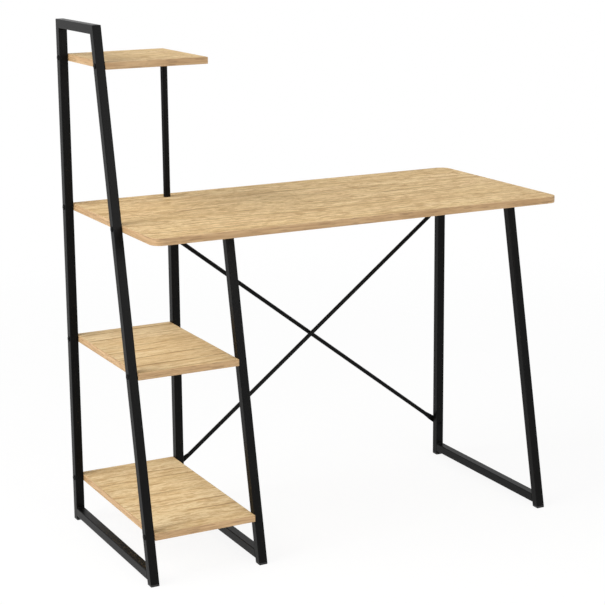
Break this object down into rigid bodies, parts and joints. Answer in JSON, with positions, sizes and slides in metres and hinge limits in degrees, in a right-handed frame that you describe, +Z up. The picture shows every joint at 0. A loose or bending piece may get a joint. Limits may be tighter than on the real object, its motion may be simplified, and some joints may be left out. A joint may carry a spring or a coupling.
{
  "type": "ladder desk",
  "caption": "Ladder desk with a side stack of open shelves: oak-look boards on black square-tube frames with leaning front legs, a round shelf post and a crossed rod brace.",
  "frame": {"origin": "on the floor under the middle of the desk's bounding box", "axes": "+X to the desk's right as a person sits at it facing the back, +Y to the back, +Z up"},
  "size_m": [1.0214, 0.4996, 1.17],
  "materials": {
    "frame_paint": "satin black powder coat",
    "foot_plastic": "moulded black plastic",
    "oak_board": "light oak melamine on particle board, grain along X",
    "oak_edge": "oak-look edge banding",
    "bolt_black": "black oxide steel",
    "plated_steel": "zinc plate"
  },
  "bodies": {
    "root": {"left_rear_upright": "frame_paint", "left_front_upright": "frame_paint", "left_top_bar": "frame_paint", "left_bottom_rail": "frame_paint", "middle_rear_leg": "frame_paint", "middle_front_leg": "frame_paint", "middle_top_rail": "frame_paint", "middle_bottom_rail": "frame_paint", "right_rear_leg": "frame_paint", "right_front_leg": "frame_paint", "right_top_rail": "frame_paint", "right_bottom_rail": "frame_paint", "shelf_post": "frame_paint", "brace_rod_rear": "frame_paint", "brace_rod_front": "frame_paint", "left_rear_foot": "foot_plastic", "left_front_foot": "foot_plastic", "middle_rear_foot": "foot_plastic", "middle_front_foot": "foot_plastic", "right_rear_foot": "foot_plastic", "right_front_foot": "foot_plastic", "desktop": "oak_board", "top_shelf": "oak_board", "middle_shelf": "oak_board", "bottom_shelf": "oak_board", "desktop_edge_band": "oak_edge", "top_shelf_edge_band": "oak_edge", "middle_shelf_edge_band": "oak_edge", "bottom_shelf_edge_band": "oak_edge", "left_frame_bolts": "bolt_black", "middle_frame_bolts": "bolt_black", "rail_bolts": "bolt_black", "post_bolt": "bolt_black", "brace_bolts": "bolt_black", "barrel_nuts": "plated_steel", "desktop_insert_nuts": "plated_steel", "shelf_insert_nut": "plated_steel", "post_stud": "plated_steel", "post_end_plugs": "plated_steel", "brace_nuts": "plated_steel"}
  },
  "joints": []
}
